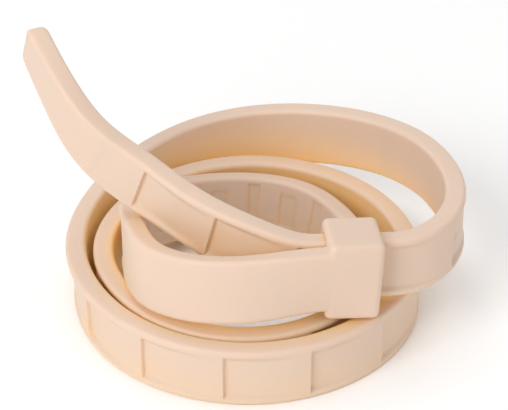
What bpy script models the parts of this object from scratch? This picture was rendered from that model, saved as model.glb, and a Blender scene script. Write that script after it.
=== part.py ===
"""Ratchet tourniquet: one soft elastomer strap coiled three and a half turns and latched in its own buckle.

The strap is described flat, as it leaves the mould, and then laid along its coiled route.
Each tooth pitch is one link, cut where the strap is thinnest, so that the strap can be given joints.
"""
import math

import bmesh
import bpy
import numpy as np
from mathutils import Matrix, Vector

MM = 0.001

# Strap section
STRAP_WIDTH = 12.4 * MM
STRAP_THICKNESS = 4.0 * MM
EDGE_RADIUS = 0.9 * MM
EDGE_STEPS = 2

# Teeth, measured along the toothed (outer) face from the buckle
TOOTH_PITCH = 16.6 * MM
TOOTH_RISE = 0.85 * MM
TOOTH_COUNT = 35
FIRST_TOOTH = 60.1 * MM
ROOT_LINKS = 3
TAB_LINKS = 2
TAB_TAPER = 0.72
LINK_GAP = 0.3 * MM
LINK_SECTIONS = 6
CREASE_RELIEF = 0.45 * MM
CREASE_CORE = 0.6 * MM

# Buckle head, in its own frame: along the strap, outward, and across the strap
HEAD_CENTRE = Vector((19.4, -23.1, 21.4)) * MM
HEAD_YAW = math.radians(7.0)
HEAD_PITCH = math.radians(3.5)
HEAD_LEAN = -3.0
HEAD_LENGTH = 10.4 * MM
HEAD_HEIGHT = 16.2 * MM
HEAD_DEPTH = 11.0 * MM
HEAD_BEVEL = 1.1 * MM
SLOT_CLEARANCE = 0.35 * MM
SLOT_OFFSET = 4.55 * MM
SLOT_CORNER = EDGE_RADIUS + SLOT_CLEARANCE

# Locking pawl, a tongue in the buckle's outer wall
PAWL_LENGTH = 7.6 * MM
PAWL_WIDTH = 8.4 * MM
PAWL_ROOT_THICKNESS = 1.1 * MM
PAWL_TIP_DROP = 0.5 * MM
PAWL_CLEARANCE = 0.35 * MM
POCKET_DEPTH = 2.1 * MM

# Brings the middle of the coil's footprint, and the floor it lies on, to the origin
FOOTPRINT_SHIFT = Vector((1.043, -2.2, 0.019)) * MM

# Route of the strap's mid-line, millimetres, and the outward lean of its width in degrees
COIL_STATIONS = (
    (1.1, -25.9, 21.2, -14), (-9.2, -24.9, 20.5, -15), (-18.6, -18.1, 19.2, -10), (-21.8, -8.3, 17.9, -3),
    (-22.4, 4.5, 13.2, 4), (-18.3, 13.5, 9.8, 10), (-12.0, 18.9, 7.9, 13), (0.3, 21.5, 6.9, 14),
    (10.9, 18.3, 6.8, 12), (18.3, 9.8, 6.6, 8), (22.3, -1.0, 6.4, 3), (20.8, -14.5, 6.2, 0),
    (11.5, -24.2, 6.2, 0), (0.0, -27.4, 6.2, 0), (-13.8, -23.9, 6.2, 0), (-23.8, -14.0, 6.2, 0),
    (-28.2, -1.0, 6.2, 0), (-25.6, 12.0, 6.2, 0), (-15.0, 24.6, 6.2, 0), (0.0, 29.5, 6.2, 0),
    (14.5, 26.1, 6.2, 0), (25.2, 17.2, 6.2, 0), (31.0, 4.0, 6.2, 0), (30.6, -9.0, 6.2, 0),
    (22.6, -22.6, 6.2, 0), (12.3, -29.5, 6.2, 0), (0.0, -32.0, 6.2, 0), (-16.0, -27.7, 6.2, 0),
    (-28.2, -15.7, 6.3, 2), (-33.0, 0.5, 6.9, 7), (-29.8, 15.6, 8.0, 9), (-21.0, 27.9, 10.0, 8),
    (-10.3, 34.4, 12.1, 6), (1.2, 36.0, 14.1, 4), (14.2, 33.4, 16.1, 2), (26.4, 26.6, 18.0, 0),
    (34.6, 17.2, 19.5, 0), (38.9, 6.5, 20.3, 0), (39.6, -3.0, 20.6, -1), (37.0, -10.6, 20.6, -2),
    (32.6, -15.3, 20.5, -3),
)
TAIL_STATIONS = (
    (2.0, -18.1, 23.8, -2), (-9.4, -12.9, 27.3, 4), (-19.8, -6.3, 31.3, 2), (-29.1, -1.0, 36.6, 0),
    (-35.7, 6.0, 43.6, -2), (-41.2, 16.2, 49.4, -2),
)
HEAD_STATIONS = (-HEAD_LENGTH / 2, 0.0, HEAD_LENGTH / 2)
SLOT_STATIONS = (-8.5 * MM, -4.5 * MM, 0.0, 4.0 * MM, 8.0 * MM)

# Bodies that move, each as the number of its first crease counted back from the last tooth
SWING_CREASE = 6
FEED_CREASE = 4
TAIL_CREASES = (1, 0)

MOULDED_COLOUR = (0.84, 0.68, 0.56, 1.0)


def strap_axes(direction, lean):
    """Return the strap's along, outward and across axes for a direction of travel and a lean in degrees."""
    along = np.asarray(direction, dtype=float)
    along = along / np.linalg.norm(along)
    outward = np.cross((0.0, 0.0, 1.0), along)
    outward = outward / np.linalg.norm(outward)
    across = np.cross(along, outward)
    turn = math.radians(lean)
    leaned_outward = outward * math.cos(turn) - across * math.sin(turn)
    leaned_across = across * math.cos(turn) + outward * math.sin(turn)
    return along, leaned_outward, leaned_across


def frame_matrix(origin, along, outward, across):
    """Return the matrix that takes strap coordinates to the world."""
    matrix = Matrix.Identity(4)
    for column, axis in enumerate((along, outward, across, origin)):
        for row in range(3):
            matrix[row][column] = float(axis[row])
    return matrix


def head_frame():
    """Return the buckle's frame at the middle of its strap root."""
    direction = (
        -math.cos(HEAD_YAW) * math.cos(HEAD_PITCH),
        -math.sin(HEAD_YAW) * math.cos(HEAD_PITCH),
        math.sin(HEAD_PITCH),
    )
    return frame_matrix(HEAD_CENTRE + FOOTPRINT_SHIFT, *strap_axes(direction, HEAD_LEAN))


class Route:
    """Smooth mid-line through stations, read by the distance travelled along the toothed face."""

    SAMPLES = 4000

    def __init__(self, stations):
        self.values = np.array(stations, dtype=float)
        chords = np.linalg.norm(np.diff(self.values[:, :3], axis=0), axis=1)
        self.knots = np.concatenate(([0.0], np.cumsum(chords)))
        self.bend = self._second_derivatives()
        self.parameters = np.linspace(0.0, self.knots[-1], self.SAMPLES)
        face = np.array([self._face_point(value) for value in self.parameters])
        steps = np.linalg.norm(np.diff(face, axis=0), axis=1)
        self.distances = np.concatenate(([0.0], np.cumsum(steps)))
        self.length = self.distances[-1]

    def _second_derivatives(self):
        """Solve a natural cubic spline through every station."""
        spans = np.diff(self.knots)
        size = len(self.knots)
        system = np.eye(size)
        load = np.zeros_like(self.values)
        slopes = np.diff(self.values, axis=0) / spans[:, None]
        for row in range(1, size - 1):
            system[row, row - 1] = spans[row - 1]
            system[row, row] = 2.0 * (spans[row - 1] + spans[row])
            system[row, row + 1] = spans[row]
            load[row] = 6.0 * (slopes[row] - slopes[row - 1])
        return np.linalg.solve(system, load)

    def _evaluate(self, parameter):
        """Return the station values and their derivative at a spline parameter."""
        index = int(np.clip(np.searchsorted(self.knots, parameter) - 1, 0, len(self.knots) - 2))
        span = self.knots[index + 1] - self.knots[index]
        before = (self.knots[index + 1] - parameter) / span
        after = (parameter - self.knots[index]) / span
        start, end = self.values[index], self.values[index + 1]
        bend_start, bend_end = self.bend[index], self.bend[index + 1]
        value = before * start + after * end
        value = value + ((before ** 3 - before) * bend_start + (after ** 3 - after) * bend_end) * span ** 2 / 6.0
        slope = (end - start) / span
        slope = slope + ((3 * after ** 2 - 1) * bend_end - (3 * before ** 2 - 1) * bend_start) * span / 6.0
        return value, slope

    def _axes(self, parameter):
        value, slope = self._evaluate(parameter)
        return value[:3], strap_axes(slope[:3], value[3])

    def _face_point(self, parameter):
        point, axes = self._axes(parameter)
        return point + axes[1] * STRAP_THICKNESS / 2

    def frame(self, distance):
        """Return the strap's frame at a distance along the toothed face."""
        parameter = float(np.interp(distance, self.distances, self.parameters))
        point, axes = self._axes(parameter)
        return frame_matrix(point, *axes)


def build_route():
    """Return the whole route, whose ends are straight where the strap meets and re-enters the buckle."""
    head = head_frame()
    stations = []
    for along in HEAD_STATIONS:
        stations.append((*(head @ Vector((along, 0.0, 0.0))), HEAD_LEAN))
    for x, y, z, lean in COIL_STATIONS:
        stations.append((*(Vector((x, y, z)) * MM + FOOTPRINT_SHIFT), lean))
    for along in SLOT_STATIONS:
        stations.append((*(head @ Vector((along, -SLOT_OFFSET, 0.0))), HEAD_LEAN))
    for x, y, z, lean in TAIL_STATIONS:
        stations.append((*(Vector((x, y, z)) * MM + FOOTPRINT_SHIFT), lean))
    return Route(stations)


def section(thickness_inner, thickness_outer, width):
    """Return one rounded strap section as points outward and across from the mid-line."""
    radius = min(EDGE_RADIUS, (thickness_inner + thickness_outer) * 0.35)
    corners = (
        (thickness_outer - radius, width / 2 - radius, 0.0),
        (-thickness_inner + radius, width / 2 - radius, math.pi / 2),
        (-thickness_inner + radius, -width / 2 + radius, math.pi),
        (thickness_outer - radius, -width / 2 + radius, 3 * math.pi / 2),
    )
    points = []
    for outward, across, start in corners:
        for step in range(EDGE_STEPS + 1):
            angle = start + math.pi / 2 * step / EDGE_STEPS
            points.append((outward + radius * math.cos(angle), across + radius * math.sin(angle)))
    return points


def new_material(name, roughness):
    """Return the soft moulded elastomer under its own slot name."""
    material = bpy.data.materials.new(name)
    material.use_nodes = True
    shader = material.node_tree.nodes["Principled BSDF"]
    shader.inputs["Base Color"].default_value = MOULDED_COLOUR
    shader.inputs["Roughness"].default_value = roughness
    shader.inputs["Metallic"].default_value = 0.0
    material.diffuse_color = MOULDED_COLOUR
    return material


def loft(name, rings):
    """Join a row of matching closed rings into one capped body."""
    count = len(rings[0])
    vertices = [point for ring in rings for point in ring]
    faces = [tuple(range(count))]
    for ring in range(len(rings) - 1):
        for index in range(count):
            here = ring * count + index
            beside = ring * count + (index + 1) % count
            faces.append((here, here + count, beside + count, beside))
    last = (len(rings) - 1) * count
    faces.append(tuple(last + index for index in reversed(range(count))))
    mesh = bpy.data.meshes.new(name)
    mesh.from_pydata([tuple(vertex) for vertex in vertices], [], faces)
    shell = bmesh.new()
    shell.from_mesh(mesh)
    bmesh.ops.recalc_face_normals(shell, faces=shell.faces)
    shell.to_mesh(mesh)
    shell.free()
    return mesh


class Tourniquet:
    """The whole coiled strap with its buckle, pawl, teeth and pull tab."""

    def __init__(self):
        self.collection = bpy.data.collections.new("ratchet_tourniquet")
        self.cutters = bpy.data.collections.new("cutters")
        for collection in (self.collection, self.cutters):
            bpy.context.scene.collection.children.link(collection)
        self.route = build_route()
        self.head = head_frame()
        self.last_tooth = FIRST_TOOTH + TOOTH_PITCH * TOOTH_COUNT
        self.creases = {
            number: self.last_tooth - TOOTH_PITCH * number
            for number in (SWING_CREASE, FEED_CREASE, *TAIL_CREASES)
        }
        self.tab_crease = (self.last_tooth + self.route.length) / 2
        self.pivots = {}

    def add_pivot(self, name, matrix, parent):
        """Add the empty on which a moving body turns."""
        empty = bpy.data.objects.new(name, None)
        empty.empty_display_size = STRAP_THICKNESS
        self.collection.objects.link(empty)
        if parent is not None:
            empty.parent = parent
            empty.matrix_parent_inverse = parent.matrix_world.inverted()
        empty.matrix_world = matrix
        bpy.context.view_layer.update()
        self.pivots[name] = empty
        return empty

    def build_pivots(self):
        """Put each moving body's empty at its crease, with Z along the hinge."""
        swing_point = self.route.frame(self.creases[SWING_CREASE]).translation
        feed_point = self.route.frame(self.creases[FEED_CREASE]).translation
        turn = self.head.to_3x3().to_4x4()
        swing = self.add_pivot("loop_swing_pivot", Matrix.Translation(swing_point) @ turn, None)
        feed = self.add_pivot("strap_feed_pivot", Matrix.Translation(feed_point) @ turn, swing)
        parent = feed
        for order, number in enumerate(TAIL_CREASES, start=1):
            frame = self.route.frame(self.creases[number])
            parent = self.add_pivot(f"tail_pivot_{order}", frame, parent)
        self.add_pivot("tab_pivot", self.route.frame(self.tab_crease), parent)

    def body_at(self, distance):
        """Return the pivot that carries the link centred at a distance, or none for the fixed coil."""
        if distance < self.creases[SWING_CREASE]:
            return None
        if distance < self.creases[FEED_CREASE]:
            return self.pivots["loop_swing_pivot"]
        if distance < self.creases[TAIL_CREASES[0]]:
            return self.pivots["strap_feed_pivot"]
        if distance < self.creases[TAIL_CREASES[1]]:
            return self.pivots["tail_pivot_1"]
        if distance < self.tab_crease:
            return self.pivots["tail_pivot_2"]
        return self.pivots["tab_pivot"]

    def is_hinged(self, distance):
        """Say whether a crease at this distance carries a hinge."""
        hinges = [*self.creases.values(), self.tab_crease]
        return any(abs(distance - hinge) < LINK_GAP for hinge in hinges)

    def place(self, mesh, name, matrix, parent, roughness=0.6):
        """Add a mesh as a named object in its frame and give it its own material."""
        obj = bpy.data.objects.new(name, mesh)
        self.collection.objects.link(obj)
        if parent is not None:
            obj.parent = parent
            obj.matrix_parent_inverse = parent.matrix_world.inverted()
        obj.matrix_world = matrix
        mesh.materials.append(new_material(name + "_elastomer", roughness))
        mesh.shade_smooth()
        mesh.set_sharp_from_angle(angle=math.radians(40))
        return obj

    def add_link(self, name, start, end, drop, width_start=STRAP_WIDTH, width_end=STRAP_WIDTH):
        """Add one strap link whose outer face falls by the drop from its start to its end."""
        first = start + LINK_GAP / 2
        last = end - LINK_GAP / 2
        local = self.route.frame(first).inverted()
        stops = [(first + (last - first) * step / LINK_SECTIONS, False) for step in range(LINK_SECTIONS + 1)]
        if self.is_hinged(start):
            stops[0] = (first, True)
            stops.insert(1, (first + CREASE_RELIEF, False))
        if self.is_hinged(end):
            stops[-1] = (last, True)
            stops.insert(-1, (last - CREASE_RELIEF, False))
        rings = []
        for distance, relieved in stops:
            share = (distance - start) / (end - start)
            half = STRAP_THICKNESS / 2
            inner = CREASE_CORE if relieved else half
            outer = CREASE_CORE if relieved else half - drop * share
            width = width_start + (width_end - width_start) * share
            frame = local @ self.route.frame(distance)
            ring = [frame @ Vector((0.0, outward, across)) for outward, across in section(inner, outer, width)]
            rings.append(ring)
        return self.place(loft(name, rings), name, self.route.frame(first), self.body_at((start + end) / 2))

    def build_strap(self):
        """Build the smooth root, the toothed links and the pull tab."""
        root_start = HEAD_LENGTH + LINK_GAP
        root_step = (FIRST_TOOTH - root_start) / ROOT_LINKS
        for index in range(ROOT_LINKS):
            start = root_start + root_step * index
            self.add_link(f"strap_root_{index + 1}", start, start + root_step, 0.0)
        for index in range(TOOTH_COUNT):
            start = FIRST_TOOTH + TOOTH_PITCH * index
            self.add_link(f"strap_tooth_{index + 1:02d}", start, start + TOOTH_PITCH, TOOTH_RISE)
        middle = STRAP_WIDTH * (1 + TAB_TAPER) / 2
        self.add_link("pull_tab_base", self.last_tooth, self.tab_crease, 0.0, STRAP_WIDTH, middle)
        end = self.route.length + LINK_GAP / 2
        self.add_link("pull_tab_tip", self.tab_crease, end, 0.0, middle, STRAP_WIDTH * TAB_TAPER)

    def cutter(self, name, size, centre, bevel):
        """Return a rounded block in the buckle's frame for cutting."""
        block = self.block(name, size, centre, bevel)
        for collection in list(block.users_collection):
            collection.objects.unlink(block)
        self.cutters.objects.link(block)
        block.hide_render = True
        block.display_type = "WIRE"
        return block

    def block(self, name, size, centre, bevel):
        """Return a box in the buckle's frame with its edges rounded."""
        half = [value / 2 for value in size]
        rings = []
        for along in (-half[0], half[0]):
            ring = []
            for outward, across in ((half[1], half[2]), (-half[1], half[2]), (-half[1], -half[2]), (half[1], -half[2])):
                ring.append((centre[0] + along, centre[1] + outward, centre[2] + across))
            rings.append(ring)
        obj = bpy.data.objects.new(name, loft(name, rings))
        self.collection.objects.link(obj)
        obj.matrix_world = self.head
        if bevel > 0:
            modifier = obj.modifiers.new("rounding", "BEVEL")
            modifier.width = bevel
            modifier.segments = 3
        return obj

    def build_buckle(self):
        """Build the buckle: a rounded block with a through slot and a pocket for the pawl."""
        outer_face = STRAP_THICKNESS / 2
        centre_out = outer_face - HEAD_DEPTH / 2
        head = self.block("buckle_head", (HEAD_LENGTH, HEAD_DEPTH, HEAD_HEIGHT), (0, centre_out, 0), HEAD_BEVEL)
        slot_depth = STRAP_THICKNESS + 2 * SLOT_CLEARANCE
        slot_height = STRAP_WIDTH + 2 * SLOT_CLEARANCE
        slot = self.cutter("slot_cutter", (HEAD_LENGTH * 2, slot_depth, slot_height), (0, -SLOT_OFFSET, 0), SLOT_CORNER)
        slot_face = -SLOT_OFFSET + slot_depth / 2
        pocket_length = PAWL_LENGTH + 2 * PAWL_CLEARANCE
        pocket_height = PAWL_WIDTH + 2 * PAWL_CLEARANCE
        pocket = self.cutter(
            "pawl_pocket_cutter",
            (pocket_length, POCKET_DEPTH * 2, pocket_height),
            (0, slot_face, 0),
            0.0,
        )
        for tool in (slot, pocket):
            cut = head.modifiers.new(tool.name, "BOOLEAN")
            cut.operation = "DIFFERENCE"
            cut.solver = "EXACT"
            cut.object = tool
        head.data.materials.append(new_material("buckle_head_elastomer", 0.6))
        head.data.shade_smooth()
        head.data.set_sharp_from_angle(angle=math.radians(40))
        self.build_pawl(slot_face)

    def build_pawl(self, slot_face):
        """Build the tongue: hinged at the entry end, its tip reaching down to the teeth at the exit end."""
        half = PAWL_LENGTH / 2
        root_centre = slot_face + PAWL_CLEARANCE / 2 + PAWL_ROOT_THICKNESS / 2
        profile = (
            (-half, -PAWL_ROOT_THICKNESS / 2 + 0.25 * MM),
            (-half + 0.3 * MM, -PAWL_ROOT_THICKNESS / 2),
            (half - 0.2 * MM, -PAWL_ROOT_THICKNESS / 2 - PAWL_TIP_DROP),
            (half, -PAWL_ROOT_THICKNESS / 2 - PAWL_TIP_DROP + 0.2 * MM),
            (half, PAWL_ROOT_THICKNESS / 2 - PAWL_TIP_DROP),
            (-half + 0.3 * MM, PAWL_ROOT_THICKNESS / 2),
            (-half, PAWL_ROOT_THICKNESS / 2 - 0.25 * MM),
        )
        rings = []
        for across in (-PAWL_WIDTH / 2, PAWL_WIDTH / 2):
            rings.append([(along + half, outward, across) for along, outward in profile])
        pivot = self.head @ Matrix.Translation((-half, root_centre, 0))
        empty = self.add_pivot("pawl_pivot", pivot, None)
        mesh = loft("locking_pawl", rings)
        self.place(mesh, "locking_pawl", pivot, empty)


def clear_scene():
    """Remove whatever the file opened with."""
    for obj in list(bpy.data.objects):
        bpy.data.objects.remove(obj, do_unlink=True)


def build():
    """Build the tourniquet."""
    clear_scene()
    tourniquet = Tourniquet()
    tourniquet.build_pivots()
    tourniquet.build_buckle()
    tourniquet.build_strap()
    bpy.context.view_layer.update()


build()
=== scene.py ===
"""Looks of a coiled ratchet tourniquet: one moulded elastomer strap, its buckle, and a white studio."""
import logging
import math
from dataclasses import dataclass, field
from enum import Enum
from typing import Any, Optional, Sequence

import bpy
import numpy as np
from mathutils import Matrix, Vector

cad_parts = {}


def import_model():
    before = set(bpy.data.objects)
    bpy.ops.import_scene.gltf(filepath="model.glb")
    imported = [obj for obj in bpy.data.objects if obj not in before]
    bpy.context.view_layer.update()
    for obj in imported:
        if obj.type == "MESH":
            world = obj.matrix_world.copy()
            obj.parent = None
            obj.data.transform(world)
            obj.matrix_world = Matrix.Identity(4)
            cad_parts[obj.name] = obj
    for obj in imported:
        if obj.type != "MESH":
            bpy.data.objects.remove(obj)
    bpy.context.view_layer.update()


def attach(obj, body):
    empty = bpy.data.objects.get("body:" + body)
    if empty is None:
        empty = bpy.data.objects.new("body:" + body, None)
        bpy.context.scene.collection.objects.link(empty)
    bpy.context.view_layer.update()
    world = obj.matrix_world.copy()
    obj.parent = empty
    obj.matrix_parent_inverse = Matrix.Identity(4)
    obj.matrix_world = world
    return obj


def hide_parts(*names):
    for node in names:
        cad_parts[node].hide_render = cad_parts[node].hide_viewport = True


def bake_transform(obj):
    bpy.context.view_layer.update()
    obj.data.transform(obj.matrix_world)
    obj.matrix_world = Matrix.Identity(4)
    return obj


LOG = logging.getLogger("tourniquet")
MM = 0.001
INNER_FACE = "inner_face"
Station = tuple[float, float, float, float]


class Body(Enum):
    """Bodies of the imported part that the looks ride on."""

    COIL = "coil_and_buckle"
    TURN = "loop_turn"
    FEED = "strap_feed"
    TAIL = "tail"
    TAB = "pull_tab"
    TAB_END = "pull_tab_end"
    PAWL = "pawl"


class Axis(Enum):
    """Columns of a strap frame."""

    ALONG = 0
    OUTWARD = 1
    ACROSS = 2


def linear_colour(code: str) -> tuple[float, float, float, float]:
    """Turn a hex colour into linear light.

    Args:
        code: six hex digits, with or without a leading mark.

    Returns:
        Red, green, blue and a full alpha.
    """
    digits = code.lstrip("#")
    channels = []
    for start in (0, 2, 4):
        value = int(digits[start:start + 2], 16) / 255
        channels.append(value / 12.92 if value <= 0.04045 else ((value + 0.055) / 1.055) ** 2.4)
    return channels[0], channels[1], channels[2], 1.0


def add_node(
    tree: bpy.types.NodeTree, kind: str, inputs: Optional[dict[Any, Any]] = None, **settings: Any
) -> Any:
    """Add a shader node, set its options and feed its inputs.

    Args:
        tree: node tree to add to.
        kind: Blender's node type name.
        inputs: input name or number to a value, or to an output socket to link from.
        settings: properties of the node itself.

    Returns:
        The new node.
    """
    node = tree.nodes.new(kind)
    for key, value in settings.items():
        setattr(node, key, value)
    for key, value in (inputs or {}).items():
        if isinstance(value, bpy.types.NodeSocket):
            tree.links.new(value, node.inputs[key])
        else:
            node.inputs[key].default_value = value
    return node


def smooth_ramp(value: np.ndarray, low: float, high: float) -> np.ndarray:
    """Rise smoothly from 0 at low to 1 at high.

    Args:
        value: where to read the ramp.
        low: start of the rise.
        high: end of the rise.

    Returns:
        The ramp's height at each value.
    """
    share = np.clip((value - low) / (high - low), 0.0, 1.0)
    return share * share * (3.0 - 2.0 * share)


@dataclass(frozen=True)
class StrapSize:
    """Sizes of the strap's section, teeth and grip pattern, in metres along its toothed face."""

    width: float = 12.4 * MM
    thickness: float = 4.0 * MM
    edge_radius: float = 0.85 * MM
    tooth_pitch: float = 16.6 * MM
    tooth_rise: float = 0.85 * MM
    tooth_count: int = 35
    first_tooth: float = 60.1 * MM
    tooth_margin: float = 1.25 * MM
    step_round: float = 0.32 * MM
    tab_taper: float = 0.72
    tip_round: float = 2.6 * MM
    grip_teeth: int = 8
    grip_depth: float = 0.42 * MM
    relief_ramp: float = 0.18 * MM
    groove_width: float = 2.7 * MM
    panel_width: float = 4.2 * MM
    panel_margin: float = 2.9 * MM
    gate_tooth: float = 30.82
    gate_radius: float = 0.75 * MM
    gate_depth: float = 0.3 * MM

    @property
    def last_tooth(self) -> float:
        """Distance of the last tooth's step."""
        return self.first_tooth + self.tooth_pitch * self.tooth_count

    def crease(self, number: int) -> float:
        """Return the distance of a step counted back from the last one.

        Args:
            number: steps back from the last tooth.

        Returns:
            Distance along the toothed face.
        """
        return self.last_tooth - self.tooth_pitch * number


@dataclass(frozen=True)
class HeadSize:
    """Sizes and place of the buckle's head."""

    centre: tuple[float, float, float] = (19.4 * MM, -23.1 * MM, 21.4 * MM)
    yaw: float = math.radians(7.0)
    pitch: float = math.radians(3.5)
    lean: float = -3.0
    length: float = 10.4 * MM
    height: float = 16.2 * MM
    depth: float = 11.0 * MM
    rounding: float = 1.2 * MM
    slot_offset: float = 4.55 * MM
    slot_clearance: float = 0.35 * MM
    pawl_length: float = 7.6 * MM
    pawl_width: float = 8.4 * MM
    pawl_thickness: float = 1.1 * MM
    pawl_drop: float = 0.5 * MM
    pawl_clearance: float = 0.35 * MM
    pocket_depth: float = 2.1 * MM


FOOTPRINT_SHIFT = Vector((1.043, -2.2, 0.019)) * MM

COIL_STATIONS: tuple[Station, ...] = (
    (1.1, -25.9, 21.2, -14), (-9.2, -24.9, 20.5, -15), (-18.6, -18.1, 19.2, -10), (-21.8, -8.3, 17.9, -3),
    (-22.4, 4.5, 13.2, 4), (-18.3, 13.5, 9.8, 10), (-12.0, 18.9, 7.9, 13), (0.3, 21.5, 6.9, 14),
    (10.9, 18.3, 6.8, 12), (18.3, 9.8, 6.6, 8), (22.3, -1.0, 6.4, 3), (20.8, -14.5, 6.2, 0),
    (11.5, -24.2, 6.2, 0), (0.0, -27.4, 6.2, 0), (-13.8, -23.9, 6.2, 0), (-23.8, -14.0, 6.2, 0),
    (-28.2, -1.0, 6.2, 0), (-25.6, 12.0, 6.2, 0), (-15.0, 24.6, 6.2, 0), (0.0, 29.5, 6.2, 0),
    (14.5, 26.1, 6.2, 0), (25.2, 17.2, 6.2, 0), (31.0, 4.0, 6.2, 0), (30.6, -9.0, 6.2, 0),
    (22.6, -22.6, 6.2, 0), (12.3, -29.5, 6.2, 0), (0.0, -32.0, 6.2, 0), (-16.0, -27.7, 6.2, 0),
    (-28.2, -15.7, 6.3, 2), (-33.0, 0.5, 6.9, 7), (-29.8, 15.6, 8.0, 9), (-21.0, 27.9, 10.0, 8),
    (-10.3, 34.4, 12.1, 6), (1.2, 36.0, 14.1, 4), (14.2, 33.4, 16.1, 2), (26.4, 26.6, 18.0, 0),
    (34.6, 17.2, 19.5, 0), (38.9, 6.5, 20.3, 0), (39.6, -3.0, 20.6, -1), (37.0, -10.6, 20.6, -2),
    (32.6, -15.3, 20.5, -3),
)
TAIL_STATIONS: tuple[Station, ...] = (
    (2.0, -18.1, 23.8, -2), (-9.4, -12.9, 27.3, 4), (-19.8, -6.3, 31.3, 2), (-29.1, -1.0, 36.6, 0),
    (-35.7, 6.0, 43.6, -2), (-41.2, 16.2, 49.4, -2),
)
SLOT_STATIONS: tuple[float, ...] = (-8.5 * MM, -4.5 * MM, 0.0, 4.0 * MM, 8.0 * MM)


def strap_axes(direction: Sequence[float], lean: float) -> tuple[np.ndarray, np.ndarray, np.ndarray]:
    """Return the along, outward and across axes of the strap.

    Args:
        direction: direction of travel.
        lean: outward lean of the strap's width, in degrees.

    Returns:
        Three unit vectors.
    """
    along = np.asarray(direction, dtype=float)
    along = along / np.linalg.norm(along)
    outward = np.cross((0.0, 0.0, 1.0), along)
    outward = outward / np.linalg.norm(outward)
    across = np.cross(along, outward)
    turn = math.radians(lean)
    leaned_outward = outward * math.cos(turn) - across * math.sin(turn)
    leaned_across = across * math.cos(turn) + outward * math.sin(turn)
    return along, leaned_outward, leaned_across


def frame_matrix(origin: Sequence[float], axes: Sequence[Sequence[float]]) -> Matrix:
    """Return the matrix from strap coordinates to the world.

    Args:
        origin: where the frame sits.
        axes: its along, outward and across axes.

    Returns:
        A 4 by 4 matrix.
    """
    matrix = Matrix.Identity(4)
    for column, axis in enumerate((*axes, origin)):
        for row in range(3):
            matrix[row][column] = float(axis[row])
    return matrix


class Route:
    """Smooth mid-line of the strap, read by the distance along its toothed face."""

    samples: int = 6000

    def __init__(self, stations: Sequence[Sequence[float]], thickness: float) -> None:
        """Fit a natural cubic spline and measure it.

        Args:
            stations: points and leans that the strap passes.
            thickness: strap thickness, because distances are measured on its outer face.
        """
        self.values = np.array(stations, dtype=float)
        chords = np.linalg.norm(np.diff(self.values[:, :3], axis=0), axis=1)
        self.knots = np.concatenate(([0.0], np.cumsum(chords)))
        self.bend = self._second_derivatives()
        self.parameters = np.linspace(0.0, self.knots[-1], self.samples)
        face = []
        for value in self.parameters:
            point, axes = self._place(float(value))
            face.append(point + axes[Axis.OUTWARD.value] * thickness / 2)
        steps = np.linalg.norm(np.diff(np.array(face), axis=0), axis=1)
        self.distances = np.concatenate(([0.0], np.cumsum(steps)))
        self.length = float(self.distances[-1])

    def _second_derivatives(self) -> np.ndarray:
        """Solve the spline's second derivatives at its stations.

        Returns:
            One row for each station.
        """
        spans = np.diff(self.knots)
        size = len(self.knots)
        system = np.eye(size)
        load = np.zeros_like(self.values)
        slopes = np.diff(self.values, axis=0) / spans[:, None]
        for row in range(1, size - 1):
            system[row, row - 1] = spans[row - 1]
            system[row, row] = 2.0 * (spans[row - 1] + spans[row])
            system[row, row + 1] = spans[row]
            load[row] = 6.0 * (slopes[row] - slopes[row - 1])
        return np.linalg.solve(system, load)

    def _place(self, parameter: float) -> tuple[np.ndarray, tuple[np.ndarray, np.ndarray, np.ndarray]]:
        """Return the mid-line point and axes at a spline parameter.

        Args:
            parameter: chord length from the start.

        Returns:
            The point and the three axes.
        """
        index = int(np.clip(np.searchsorted(self.knots, parameter) - 1, 0, len(self.knots) - 2))
        span = self.knots[index + 1] - self.knots[index]
        before = (self.knots[index + 1] - parameter) / span
        after = (parameter - self.knots[index]) / span
        start, end = self.values[index], self.values[index + 1]
        bend_start, bend_end = self.bend[index], self.bend[index + 1]
        value = before * start + after * end
        bend = (before ** 3 - before) * bend_start + (after ** 3 - after) * bend_end
        value = value + bend * span ** 2 / 6
        slope = (end - start) / span
        slope = slope + ((3 * after ** 2 - 1) * bend_end - (3 * before ** 2 - 1) * bend_start) * span / 6
        return value[:3], strap_axes(slope[:3], value[3])

    def frame(self, distance: float) -> Matrix:
        """Return the strap's frame at a distance along its toothed face.

        Args:
            distance: metres from the middle of the buckle's far side.

        Returns:
            A 4 by 4 matrix.
        """
        parameter = float(np.interp(distance, self.distances, self.parameters))
        point, axes = self._place(parameter)
        return frame_matrix(point, axes)


def head_frame(size: HeadSize) -> Matrix:
    """Return the buckle's frame at the middle of the strap root.

    Args:
        size: the buckle's sizes.

    Returns:
        A 4 by 4 matrix.
    """
    direction = (
        -math.cos(size.yaw) * math.cos(size.pitch),
        -math.sin(size.yaw) * math.cos(size.pitch),
        math.sin(size.pitch),
    )
    return frame_matrix(Vector(size.centre) + FOOTPRINT_SHIFT, strap_axes(direction, size.lean))


def build_route(strap: StrapSize, head: HeadSize) -> Route:
    """Return the whole route from the buckle's root to the tip of the pull tab.

    Args:
        strap: the strap's sizes.
        head: the buckle's sizes.

    Returns:
        The route.
    """
    frame = head_frame(head)
    stations: list[tuple[float, ...]] = []
    for along in (-head.length / 2, 0.0, head.length / 2):
        stations.append((*(frame @ Vector((along, 0.0, 0.0))), head.lean))
    for x, y, z, lean in COIL_STATIONS:
        stations.append((*(Vector((x, y, z)) * MM + FOOTPRINT_SHIFT), lean))
    for along in SLOT_STATIONS:
        stations.append((*(frame @ Vector((along, -head.slot_offset, 0.0))), head.lean))
    for x, y, z, lean in TAIL_STATIONS:
        stations.append((*(Vector((x, y, z)) * MM + FOOTPRINT_SHIFT), lean))
    return Route(stations, strap.thickness)


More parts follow.
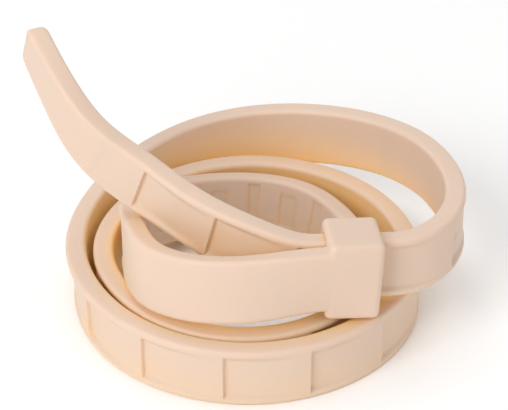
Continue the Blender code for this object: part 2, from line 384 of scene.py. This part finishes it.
@dataclass(frozen=True)
class MouldedElastomer:
    """Soft thermoplastic elastomer straight from a spark-eroded mould."""

    face: str = "#DEC5B1"
    # Painted light: the warm colour mixed into hollows and the inner face, standing in for light scattered through
    # the resin.
    deep: str = "#FFD48E"
    scatter_metres: float = 1.6 * MM
    scatter_weight: float = 0.35
    roughness: float = 0.55
    ior: float = 1.49
    # Reach of the occlusion mask for the painted warm light, and the part of it that the toothed face takes.
    painted_light_reach: float = 16.0 * MM
    painted_light_outer_share: float = 0.35
    flow_size: float = 14.0 * MM
    spark_grain: float = 0.12 * MM
    grain_height: float = 0.006 * MM

    def build(self, name: str = "moulded_skin_tone_elastomer") -> bpy.types.Material:
        """Make the material.

        Args:
            name: material name.

        Returns:
            The material, in object coordinates that don't depend on UVs.
        """
        material = bpy.data.materials.new(name)
        material.use_nodes = True
        tree = material.node_tree
        tree.nodes.clear()
        place = add_node(tree, "ShaderNodeTexCoord").outputs["Object"]
        # Painted light: hollows found by an ambient-occlusion mask are mixed toward a warm orange, standing in for
        # light scattered and bounced inside the soft resin's pockets.
        occlusion_for_painted_light = add_node(
            tree,
            "ShaderNodeAmbientOcclusion",
            {"Distance": self.painted_light_reach},
            samples=8,
            only_local=False,
        )
        closed = add_node(
            tree,
            "ShaderNodeMapRange",
            {"Value": occlusion_for_painted_light.outputs["AO"], "From Min": 0.2, "From Max": 0.9, "To Min": 1.0, "To Max": 0.0},
            interpolation_type="SMOOTHSTEP",
        )
        # Painted light, continued: the inner face takes the painted warm light in full and the toothed face only
        # in part, standing in for light that has crossed the strap.
        side = add_node(tree, "ShaderNodeAttribute", attribute_name=INNER_FACE)
        share = add_node(
            tree,
            "ShaderNodeMapRange",
            {"Value": side.outputs["Fac"], "From Min": 0.3, "From Max": 0.7, "To Min": self.painted_light_outer_share},
        )
        painted_light_amount = add_node(
            tree,
            "ShaderNodeMath",
            {0: closed.outputs["Result"], 1: share.outputs["Result"]},
            operation="MULTIPLY",
        )
        # Faint flow marks, where the melt cooled at slightly different rates.
        flow = add_node(
            tree,
            "ShaderNodeTexNoise",
            {"Vector": place, "Scale": 1 / self.flow_size, "Detail": 2.0, "Roughness": 0.4},
        )
        # Base colour with the painted warm light mixed in.
        colour_with_painted_light = add_node(
            tree,
            "ShaderNodeMixRGB",
            {
                "Fac": painted_light_amount.outputs["Value"],
                "Color1": linear_colour(self.face),
                "Color2": linear_colour(self.deep),
            },
        )
        streak = add_node(
            tree,
            "ShaderNodeMapRange",
            {"Value": flow.outputs["Fac"], "To Min": 0.985, "To Max": 1.015},
        )
        colour = add_node(
            tree,
            "ShaderNodeVectorMath",
            {0: colour_with_painted_light.outputs["Color"], "Scale": streak.outputs["Result"]},
            operation="SCALE",
        )
        # Fine matte grain that the mould's eroded steel leaves on the part.
        grain = add_node(
            tree,
            "ShaderNodeTexNoise",
            {"Vector": place, "Scale": 1 / self.spark_grain, "Detail": 3.0, "Roughness": 0.6},
        )
        bump = add_node(
            tree,
            "ShaderNodeBump",
            {"Height": grain.outputs["Fac"], "Distance": self.grain_height, "Strength": 0.5},
        )
        sheen_noise = add_node(
            tree,
            "ShaderNodeMapRange",
            {"Value": flow.outputs["Fac"], "To Min": self.roughness - 0.05, "To Max": self.roughness + 0.05},
        )
        shader = add_node(
            tree,
            "ShaderNodeBsdfPrincipled",
            {
                "Base Color": colour.outputs["Vector"],
                "Roughness": sheen_noise.outputs["Result"],
                "Normal": bump.outputs["Normal"],
                "IOR": self.ior,
                "Subsurface Weight": self.scatter_weight,
                "Subsurface Scale": self.scatter_metres,
                "Subsurface Radius": (1.0, 0.45, 0.22),
            },
        )
        add_node(tree, "ShaderNodeOutputMaterial", {"Surface": shader.outputs["BSDF"]})
        return material


@dataclass(frozen=True)
class PaintedFloor:
    """Matte white painted sweep under the object."""

    colour: str = "#FFFFFF"
    roughness: float = 0.9
    shine: float = 0.1

    def build(self, name: str = "matte_white_sweep") -> bpy.types.Material:
        """Make the material.

        Args:
            name: material name.

        Returns:
            The material.
        """
        material = bpy.data.materials.new(name)
        material.use_nodes = True
        tree = material.node_tree
        tree.nodes.clear()
        shader = add_node(
            tree,
            "ShaderNodeBsdfPrincipled",
            {
                "Base Color": linear_colour(self.colour),
                "Roughness": self.roughness,
                "Specular IOR Level": self.shine,
            },
        )
        add_node(tree, "ShaderNodeOutputMaterial", {"Surface": shader.outputs["BSDF"]})
        return material


@dataclass(frozen=True)
class SkinStretch:
    """One stretch of strap skin and the bodies that carry it."""

    name: str
    start: float
    end: float
    first: Body
    nodes: tuple[str, ...]
    second: Optional[Body] = None
    hinge: float = 0.0


@dataclass
class StrapSkin:
    """Continuous moulded strap: teeth on the outer face, grip pattern near the root on the inner face."""

    size: StrapSize
    route: Route
    material: bpy.types.Material
    corner_steps: int = 6
    base_step: float = 1.0 * MM
    bend_reach: float = 3.0 * MM
    points: np.ndarray = field(init=False)

    def __post_init__(self) -> None:
        """Lay out the section's points once."""
        self.points = self._section()

    def _section(self) -> np.ndarray:
        """Return the section as points outward and across, starting on the toothed face.

        Returns:
            Rows of outward and across distances.
        """
        size = self.size
        half_t, half_w, radius = size.thickness / 2, size.width / 2, size.edge_radius
        edge = half_w - size.tooth_margin
        panel = half_w - size.panel_margin
        stops = [0.0, edge * 0.35, edge * 0.62, panel - 0.3 * MM, panel]
        stops += [panel + 0.3 * MM, edge - 0.45 * MM, edge - 0.2 * MM, edge]
        stops += [size.gate_radius * share for share in (0.35, 0.7, 1.0, 1.3)]
        stops = sorted(stops)
        across_up = [-value for value in reversed(stops[1:])] + stops
        rows: list[tuple[float, float]] = [(half_t, value) for value in across_up]
        rows += self._corner(half_t - radius, half_w - radius, 0.0)
        rows += self._corner(-half_t + radius, half_w - radius, math.pi / 2)
        rows += [(-half_t, value) for value in reversed(across_up)]
        rows += self._corner(-half_t + radius, -half_w + radius, math.pi)
        rows += self._corner(half_t - radius, -half_w + radius, 3 * math.pi / 2)
        return np.array(rows)

    def _corner(self, outward: float, across: float, start: float) -> list[tuple[float, float]]:
        """Return a quarter round.

        Args:
            outward: outward place of its centre.
            across: across place of its centre.
            start: angle it starts from.

        Returns:
            Points on the quarter.
        """
        radius = self.size.edge_radius
        points = []
        for step in range(self.corner_steps + 1):
            angle = start + math.pi / 2 * step / self.corner_steps
            points.append((outward + radius * math.cos(angle), across + radius * math.sin(angle)))
        return points

    def _stations(self, start: float, end: float) -> np.ndarray:
        """Return the distances at which the skin needs a section.

        Args:
            start: where the skin begins.
            end: where it ends.

        Returns:
            Sorted distances.
        """
        size = self.size
        stops = list(np.arange(start, end, self.base_step)) + [start, end]
        offsets = np.array([-0.9, -0.45, -0.2, 0.0, 0.2, 0.45, 0.9]) * size.step_round
        for number in range(size.tooth_count + 1):
            step = size.first_tooth + size.tooth_pitch * number
            stops += list(step + offsets)
            if number < size.grip_teeth:
                middle = step + size.tooth_pitch / 2
                for edge in (step - size.groove_width / 2, step + size.groove_width / 2):
                    stops += [edge - size.relief_ramp, edge, edge + size.relief_ramp]
                for edge in (middle - size.panel_width / 2, middle + size.panel_width / 2):
                    stops += [edge - size.relief_ramp, edge, edge + size.relief_ramp]
        gate = size.first_tooth + size.tooth_pitch * size.gate_tooth
        stops += list(gate + np.linspace(-1.3, 1.3, 11) * size.gate_radius)
        stops += list(end - size.tip_round * (1 - np.cos(np.linspace(0, math.pi / 2, 9))))
        kept = np.unique(np.round([stop for stop in stops if start <= stop <= end], 7))
        spaced = [kept[0]]
        for stop in kept[1:]:
            if stop - spaced[-1] > 0.04 * MM:
                spaced.append(stop)
        return np.array(spaced)

    def tooth_fall(self, distance: float) -> float:
        """Return how far the toothed face has fallen at a distance.

        Args:
            distance: distance along the toothed face.

        Returns:
            Fall in metres.
        """
        size = self.size
        if distance < size.first_tooth:
            return 0.0
        count = (distance - size.first_tooth) / size.tooth_pitch
        number = min(math.floor(count), size.tooth_count)
        past = distance - size.first_tooth - number * size.tooth_pitch
        fall = 0.0 if number >= size.tooth_count else size.tooth_rise * past / size.tooth_pitch
        before = size.tooth_rise if number > 0 else 0.0
        half = size.step_round / 2
        blend = float(smooth_ramp(np.array(past), -half, half))
        if number > 0 and past < half:
            return before * (1 - blend) + fall * blend
        remaining = size.tooth_pitch - past
        if number < size.tooth_count and remaining < half:
            blend = float(smooth_ramp(np.array(-remaining), -half, half))
            return fall * (1 - blend)
        return fall

    def _grip(self, distance: float, across: np.ndarray) -> np.ndarray:
        """Return how deep the inner face's pattern is at a distance.

        Args:
            distance: distance along the strap.
            across: across place of each point.

        Returns:
            Depth of each point.
        """
        size = self.size
        count = (distance - size.first_tooth) / size.tooth_pitch
        if count < -0.2 or count > size.grip_teeth:
            return np.zeros_like(across)
        past = (count - round(count)) * size.tooth_pitch
        rim = 1 - smooth_ramp(np.abs(across), size.width / 2 - 1.55 * MM, size.width / 2 - 1.2 * MM)
        groove = 1 - smooth_ramp(
            np.array(abs(past)), size.groove_width / 2 - size.relief_ramp, size.groove_width / 2 + size.relief_ramp
        )
        from_middle = abs(abs(past) - size.tooth_pitch / 2)
        inside = 1 - smooth_ramp(
            np.array(from_middle), size.panel_width / 2 - size.relief_ramp, size.panel_width / 2 + size.relief_ramp
        )
        margin = size.width / 2 - size.panel_margin
        panel = inside * (1 - smooth_ramp(np.abs(across), margin - 0.2 * MM, margin + 0.2 * MM))
        return size.grip_depth * np.maximum(groove * rim, panel)

    def _gate_mark(self, distance: float, across: np.ndarray) -> np.ndarray:
        """Return the depth of the small dish that the mould's gate leaves on the outer turn.

        Args:
            distance: distance along the strap.
            across: across place of each point.

        Returns:
            Depth of each point.
        """
        size = self.size
        gate = size.first_tooth + size.tooth_pitch * size.gate_tooth
        reach = np.hypot(distance - gate, across)
        return size.gate_depth * (1 - smooth_ramp(reach, size.gate_radius * 0.45, size.gate_radius * 1.25))

    def _ring(self, distance: float) -> np.ndarray:
        """Return one section in the world.

        Args:
            distance: distance along the strap.

        Returns:
            World points.
        """
        size = self.size
        outward = self.points[:, 0].copy()
        across = self.points[:, 1].copy()
        half_t = size.thickness / 2
        toothed = outward > half_t - 0.02 * MM
        inner = outward < -half_t + 0.02 * MM
        edge = size.width / 2 - size.tooth_margin
        band = 1 - smooth_ramp(np.abs(across), edge - 0.5 * MM, edge)
        outward = outward - np.where(toothed, self.tooth_fall(distance) * band, 0.0)
        outward = outward + np.where(inner, self._grip(distance, across), 0.0)
        outward = outward - np.where(toothed, self._gate_mark(distance, across), 0.0)
        if distance > size.last_tooth:
            share = (distance - size.last_tooth) / (self.route.length - size.last_tooth)
            across = across * (1 + (size.tab_taper - 1) * share)
        from_tip = self.route.length - distance
        if from_tip < size.tip_round:
            part = 1 - from_tip / size.tip_round
            shrink = math.sqrt(max(0.0, 1 - part * part))
            across = np.sign(across) * np.maximum(np.abs(across) - size.tip_round * 0.75 * (1 - shrink), 0.0)
            outward = outward * (0.35 + 0.65 * shrink ** 0.6)
        frame = np.array(self.route.frame(distance))
        return frame[:3, 3] + np.outer(outward, frame[:3, 1]) + np.outer(across, frame[:3, 2])

    def build(self, stretches: Sequence[SkinStretch]) -> list[bpy.types.Object]:
        """Build every stretch of the skin with shading that runs on across their joins.

        Args:
            stretches: stretches in order, each starting where the one before ends.

        Returns:
            The strap's objects.
        """
        stops = self._stations(stretches[0].start, stretches[-1].end)
        joins = [stretch.end for stretch in stretches[:-1]]
        stops = np.unique(np.concatenate((stops, joins)))
        rings = np.array([self._ring(float(stop)) for stop in stops])
        normals = self._normals(rings)
        made = []
        for stretch in stretches:
            rows = np.where((stops >= stretch.start - 1e-9) & (stops <= stretch.end + 1e-9))[0]
            closes = stretch is stretches[-1]
            made.append(self._stretch(stretch, rings[rows], normals[rows], closes))
        return made

    def _faces(self, rows: int, count: int, closes: bool) -> list[tuple[int, ...]]:
        """Return quads between sections, and a cap at the tip.

        Args:
            rows: number of sections.
            count: points in a section.
            closes: whether the last section gets a cap.

        Returns:
            Faces as vertex numbers.
        """
        faces: list[tuple[int, ...]] = []
        for row in range(rows - 1):
            for index in range(count):
                here = row * count + index
                beside = row * count + (index + 1) % count
                faces.append((here, here + count, beside + count, beside))
        if closes:
            last = (rows - 1) * count
            faces.append(tuple(last + index for index in reversed(range(count))))
        return faces

    def _mesh(self, name: str, rings: np.ndarray, closes: bool) -> bpy.types.Mesh:
        """Make a smooth mesh from sections.

        Args:
            name: mesh name.
            rings: sections in the world.
            closes: whether the last section gets a cap.

        Returns:
            The mesh.
        """
        rows, count = rings.shape[:2]
        mesh = bpy.data.meshes.new(name)
        points = [tuple(point) for point in rings.reshape(-1, 3)]
        mesh.from_pydata(points, [], self._faces(rows, count, closes))
        mesh.update()
        mesh.shade_smooth()
        return mesh

    def _normals(self, rings: np.ndarray) -> np.ndarray:
        """Return the whole strap's vertex normals.

        Args:
            rings: every section.

        Returns:
            One normal for each point.
        """
        mesh = self._mesh("strap_normals", rings, True)
        values = np.zeros(len(mesh.vertices) * 3, np.float32)
        mesh.vertex_normals.foreach_get("vector", values)
        bpy.data.meshes.remove(mesh)
        return values.reshape(rings.shape)

    def _stretch(
        self, stretch: SkinStretch, rings: np.ndarray, normals: np.ndarray, closes: bool
    ) -> bpy.types.Object:
        """Make one stretch, and tie it to its body; a stretch that has a second body is only baked in place and
        tied to no body.

        Args:
            stretch: what it is.
            rings: its sections.
            normals: its shading normals.
            closes: whether it ends the strap.

        Returns:
            The object.
        """
        mesh = self._mesh(stretch.name, rings, closes)
        mesh.normals_split_custom_set_from_vertices([tuple(value) for value in normals.reshape(-1, 3)])
        mesh.materials.append(self.material)
        # Side of each point, from the toothed face at 0 to the inner face at 1; the material uses it to weight its
        # painted warm light.
        inner = np.tile(0.5 - self.points[:, 0] / self.size.thickness, len(rings))
        mesh.attributes.new(INNER_FACE, "FLOAT", "POINT").data.foreach_set("value", inner.astype(np.float32))
        piece = bpy.data.objects.new(stretch.name, mesh)
        bpy.context.scene.collection.objects.link(piece)
        if stretch.second is None:
            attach(piece, stretch.first.value)
        else:
            start = self.route.frame(stretch.hinge - self.bend_reach).translation
            end = self.route.frame(stretch.hinge + self.bend_reach).translation
            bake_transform(piece)
        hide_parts(*stretch.nodes)
        return piece


@dataclass
class Buckle:
    """Head of the strap: a rounded block that flows into the strap's smooth root, with a slot and a pawl."""

    size: HeadSize
    strap: StrapSize
    route: Route
    material: bpy.types.Material
    voxel: float = 0.2 * MM
    soften: int = 9
    root_overrun: float = 0.9 * MM

    def _loft(self, name: str, rings: Sequence[Sequence[Sequence[float]]]) -> bpy.types.Object:
        """Make a closed body from matching rings.

        Args:
            name: object name.
            rings: closed rings in order.

        Returns:
            The object.
        """
        count = len(rings[0])
        points = [tuple(point) for ring in rings for point in ring]
        faces: list[tuple[int, ...]] = [tuple(range(count))]
        for row in range(len(rings) - 1):
            for index in range(count):
                here = row * count + index
                beside = row * count + (index + 1) % count
                faces.append((here, here + count, beside + count, beside))
        last = (len(rings) - 1) * count
        faces.append(tuple(last + index for index in reversed(range(count))))
        mesh = bpy.data.meshes.new(name)
        mesh.from_pydata(points, [], faces)
        mesh.update()
        volume = 0.0
        mesh.calc_loop_triangles()
        for triangle in mesh.loop_triangles:
            a, b, c = (mesh.vertices[index].co for index in triangle.vertices)
            volume += a.dot(b.cross(c))
        if volume < 0:
            mesh.flip_normals()
        piece = bpy.data.objects.new(name, mesh)
        bpy.context.scene.collection.objects.link(piece)
        return piece

    def _block(
        self, name: str, size: Sequence[float], centre: Sequence[float], rounding: float
    ) -> bpy.types.Object:
        """Make a rounded block in the buckle's frame.

        Args:
            name: object name.
            size: length, depth and height.
            centre: its middle.
            rounding: edge radius.

        Returns:
            The object.
        """
        half = [value / 2 for value in size]
        rings = []
        for along in (-half[0], half[0]):
            corners = ((half[1], half[2]), (-half[1], half[2]), (-half[1], -half[2]), (half[1], -half[2]))
            rings.append([(centre[0] + along, centre[1] + out, centre[2] + up) for out, up in corners])
        piece = self._loft(name, rings)
        piece.matrix_world = head_frame(self.size)
        if rounding > 0:
            bevel = piece.modifiers.new("rounding", "BEVEL")
            bevel.width = rounding
            bevel.segments = 5
        return piece

    def _root(self) -> bpy.types.Object:
        """Make the smooth strap root that leaves the head.

        Returns:
            The object.
        """
        half_t, half_w, radius = self.strap.thickness / 2, self.strap.width / 2, self.strap.edge_radius
        section = []
        for out, across, start in (
            (half_t - radius, half_w - radius, 0.0),
            (-half_t + radius, half_w - radius, math.pi / 2),
            (-half_t + radius, -half_w + radius, math.pi),
            (half_t - radius, -half_w + radius, 3 * math.pi / 2),
        ):
            for step in range(7):
                angle = start + math.pi / 2 * step / 6
                section.append((out + radius * math.cos(angle), across + radius * math.sin(angle)))
        rings = []
        begin = self.size.length / 2
        end = self.strap.first_tooth + self.root_overrun
        for distance in np.linspace(begin, end, 90):
            frame = self.route.frame(float(distance))
            rings.append([tuple(frame @ Vector((0.0, out, across))) for out, across in section])
        return self._loft("strap_root", rings)

    def _cut(self, piece: bpy.types.Object, tool: bpy.types.Object, operation: str) -> None:
        """Join or cut with another body, and remove the tool.

        Args:
            piece: body that is changed.
            tool: body that joins or cuts.
            operation: Blender's Boolean operation.
        """
        change = piece.modifiers.new(tool.name, "BOOLEAN")
        change.operation = operation
        change.solver = "EXACT"
        change.object = tool
        self._apply(piece)
        bpy.data.objects.remove(tool, do_unlink=True)

    def _apply(self, piece: bpy.types.Object) -> None:
        """Replace a piece's mesh by what its modifiers make.

        Args:
            piece: the piece.
        """
        depsgraph = bpy.context.evaluated_depsgraph_get()
        made = bpy.data.meshes.new_from_object(piece.evaluated_get(depsgraph))
        piece.modifiers.clear()
        piece.data = made

    def build(self) -> bpy.types.Object:
        """Build the head and root as one soft moulding.

        Returns:
            The object.
        """
        size = self.size
        half_t = self.strap.thickness / 2
        centre_out = half_t - size.depth / 2
        head = self._block(
            "buckle_moulding", (size.length, size.depth, size.height), (0, centre_out, 0), size.rounding
        )
        self._cut(head, self._root(), "UNION")
        slot_depth = self.strap.thickness + 2 * size.slot_clearance
        slot_height = self.strap.width + 2 * size.slot_clearance
        slot_round = self.strap.edge_radius + size.slot_clearance
        slot = self._block(
            "slot_tool", (size.length * 2, slot_depth, slot_height), (0, -size.slot_offset, 0), slot_round
        )
        self._cut(head, slot, "DIFFERENCE")
        pocket = self._block(
            "pocket_tool",
            (
                size.pawl_length + 2 * size.pawl_clearance,
                size.pocket_depth * 2,
                size.pawl_width + 2 * size.pawl_clearance,
            ),
            (0, -size.slot_offset + slot_depth / 2, 0),
            0.0,
        )
        self._cut(head, pocket, "DIFFERENCE")
        remesh = head.modifiers.new("fine_skin", "REMESH")
        remesh.mode = "VOXEL"
        remesh.voxel_size = self.voxel
        remesh.use_smooth_shade = True
        smooth = head.modifiers.new("soft_edges", "SMOOTH")
        smooth.factor = 0.5
        smooth.iterations = self.soften
        self._apply(head)
        head.data.shade_smooth()
        head.data.materials.clear()
        head.data.materials.append(self.material)
        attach(head, Body.COIL.value)
        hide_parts("buckle_head", "strap_root_1", "strap_root_2", "strap_root_3")
        return head

    def build_pawl(self) -> bpy.types.Object:
        """Build the locking tongue in its pocket.

        Returns:
            The object.
        """
        size = self.size
        half = size.pawl_length / 2
        slot_face = -size.slot_offset + self.strap.thickness / 2 + size.slot_clearance
        middle = slot_face + size.pawl_clearance / 2 + size.pawl_thickness / 2
        profile = (
            (-half, -size.pawl_thickness / 2 + 0.25 * MM),
            (-half + 0.3 * MM, -size.pawl_thickness / 2),
            (half - 0.2 * MM, -size.pawl_thickness / 2 - size.pawl_drop),
            (half, -size.pawl_thickness / 2 - size.pawl_drop + 0.2 * MM),
            (half, size.pawl_thickness / 2 - size.pawl_drop),
            (-half + 0.3 * MM, size.pawl_thickness / 2),
            (-half, size.pawl_thickness / 2 - 0.25 * MM),
        )
        rings = []
        for across in (-size.pawl_width / 2, size.pawl_width / 2):
            rings.append([(along, middle + out, across) for along, out in profile])
        pawl = self._loft("pawl_tongue", rings)
        pawl.matrix_world = head_frame(size)
        bevel = pawl.modifiers.new("soft_edges", "BEVEL")
        bevel.width = 0.12 * MM
        bevel.segments = 2
        pawl.data.shade_smooth()
        pawl.data.materials.append(self.material)
        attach(pawl, Body.PAWL.value)
        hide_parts("locking_pawl")
        return pawl


@dataclass
class Studio:
    """White table-top studio: sweep, window-like key, and soft fill."""

    target: Vector = field(default_factory=lambda: Vector((0.0, 0.0, 6.0 * MM)) + FOOTPRINT_SHIFT)
    floor_size: float = 3.0
    key_energy: float = 4.2
    fill_energy: float = 0.4
    top_energy: float = 1.6
    ambient: float = 0.55

    def _aim(self, place: Vector, at: Vector) -> Matrix:
        """Return a matrix at a place that looks at a point.

        Args:
            place: where it stands.
            at: what it looks at.

        Returns:
            A 4 by 4 matrix.
        """
        turn = (at - place).to_track_quat("-Z", "Y").to_matrix().to_4x4()
        return Matrix.Translation(place) @ turn

    def build_floor(self) -> None:
        """Build the sweep that takes the shadow."""
        half = self.floor_size / 2
        mesh = bpy.data.meshes.new("studio_sweep")
        corners = [(-half, -half, 0.0), (half, -half, 0.0), (half, half, 0.0), (-half, half, 0.0)]
        mesh.from_pydata(corners, [], [(0, 1, 2, 3)])
        mesh.materials.append(PaintedFloor().build())
        floor = bpy.data.objects.new("studio_sweep", mesh)
        bpy.context.scene.collection.objects.link(floor)

    def _light(self, name: str, place: Sequence[float], size: float, energy: float, colour: str) -> None:
        """Add one soft panel.

        Args:
            name: light name.
            place: its place from the object.
            size: width of the square panel.
            energy: power in watts.
            colour: hex colour.
        """
        data = bpy.data.lights.new(name, "AREA")
        data.shape = "SQUARE"
        data.size = size
        data.energy = energy
        data.color = linear_colour(colour)[:3]
        lamp = bpy.data.objects.new(name, data)
        bpy.context.scene.collection.objects.link(lamp)
        lamp.matrix_world = self._aim(self.target + Vector(place), self.target)

    def build_lights(self) -> None:
        """Place a large key at front left, a weak fill and a top panel."""
        self._light("key_panel", (-0.45, -0.55, 0.55), 0.5, self.key_energy, "#FFFFFF")
        self._light("fill_panel", (0.6, -0.4, 0.35), 0.5, self.fill_energy, "#FFF6EE")
        self._light("top_panel", (-0.05, 0.25, 0.8), 0.6, self.top_energy, "#FFFFFF")

    def build_world(self) -> None:
        """Make a white surround for the eye and soft ambient light for the object."""
        world = bpy.data.worlds.new("white_surround")
        bpy.context.scene.world = world
        world.use_nodes = True
        tree = world.node_tree
        tree.nodes.clear()
        path = add_node(tree, "ShaderNodeLightPath")
        seen = add_node(
            tree,
            "ShaderNodeMath",
            {0: path.outputs["Is Camera Ray"], 1: path.outputs["Is Glossy Ray"]},
            operation="MAXIMUM",
        )
        through = add_node(
            tree,
            "ShaderNodeMath",
            {0: seen.outputs["Value"], 1: path.outputs["Is Transmission Ray"]},
            operation="MAXIMUM",
        )
        ambient = add_node(
            tree, "ShaderNodeBackground", {"Color": linear_colour("#FFFFFF"), "Strength": self.ambient}
        )
        white = add_node(tree, "ShaderNodeBackground", {"Color": linear_colour("#FFFFFF"), "Strength": 1.0})
        mix = add_node(
            tree,
            "ShaderNodeMixShader",
            {0: through.outputs["Value"], 1: ambient.outputs["Background"], 2: white.outputs["Background"]},
        )
        add_node(tree, "ShaderNodeOutputWorld", {"Surface": mix.outputs["Shader"]})

    def build_camera(self) -> None:
        """Place a long lens above and in front, as the coil is seen on a table at arm's length."""
        elevation = math.radians(37.0)
        back = Vector((0.0, -math.cos(elevation), math.sin(elevation)))
        up = Vector((0.0, math.sin(elevation), math.cos(elevation)))
        place = self.target + back * 0.42
        aim = self.target + Vector((1.18 * MM, 0.0, 0.0)) + up * 12.8 * MM
        data = bpy.data.cameras.new("table_camera")
        data.sensor_width = 36.0
        data.lens = 151.2
        data.clip_start = 0.02
        data.clip_end = 10.0
        camera = bpy.data.objects.new("table_camera", data)
        bpy.context.scene.collection.objects.link(camera)
        camera.matrix_world = self._aim(place, aim)
        bpy.context.scene.camera = camera

    def build(self) -> None:
        """Build the whole studio."""
        self.build_camera()
        self.build_floor()
        self.build_lights()
        self.build_world()
        bpy.context.scene.view_settings.view_transform = "Standard"


def tooth_names(first: int, last: int) -> tuple[str, ...]:
    """Return the CAD names of a run of tooth links.

    Args:
        first: first link's number.
        last: last link's number.

    Returns:
        The names.
    """
    return tuple(f"strap_tooth_{number:02d}" for number in range(first, last + 1))


def strap_stretches(size: StrapSize, route: Route) -> list[SkinStretch]:
    """Split the strap mid-link, so that each hinge lies inside one stretch.

    Args:
        size: the strap's sizes.
        route: the strap's route.

    Returns:
        Stretches in order.
    """
    half = size.tooth_pitch / 2
    tab_crease = (size.last_tooth + route.length) / 2
    cuts = [
        size.first_tooth - 0.6 * MM,
        size.crease(6) - half,
        size.crease(5),
        size.crease(3) + half / 2,
        size.crease(1) + half,
        (size.last_tooth + tab_crease) / 2,
        route.length,
    ]
    return [
        SkinStretch("coil_strap", cuts[0], cuts[1], Body.COIL, tooth_names(1, 28)),
        SkinStretch("turn_strap", cuts[1], cuts[2], Body.COIL, tooth_names(29, 30), Body.TURN, size.crease(6)),
        SkinStretch("feed_strap", cuts[2], cuts[3], Body.TURN, tooth_names(31, 33), Body.FEED, size.crease(4)),
        SkinStretch("tail_strap", cuts[3], cuts[4], Body.FEED, tooth_names(34, 35), Body.TAIL, size.crease(1)),
        SkinStretch("tab_strap", cuts[4], cuts[5], Body.TAIL, ("pull_tab_base",), Body.TAB, size.crease(0)),
        SkinStretch("tab_tip", cuts[5], cuts[6], Body.TAB, ("pull_tab_tip",), Body.TAB_END, tab_crease),
    ]


def main() -> None:
    """Build every piece in order and report it."""
    logging.basicConfig(level=logging.INFO, format="%(name)s: %(message)s")
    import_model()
    strap, head = StrapSize(), HeadSize()
    route = build_route(strap, head)
    LOG.info("route of %.1f mm", route.length / MM)
    material = MouldedElastomer().build()
    buckle = Buckle(head, strap, route, material)
    moulding = buckle.build()
    LOG.info("buckle and root: %d faces", len(moulding.data.polygons))
    buckle.build_pawl()
    LOG.info("pawl")
    for piece in StrapSkin(strap, route, material).build(strap_stretches(strap, route)):
        LOG.info("%s: %d faces", piece.name, len(piece.data.polygons))
    Studio().build()
    LOG.info("studio")


if __name__ == "__main__":
    main()
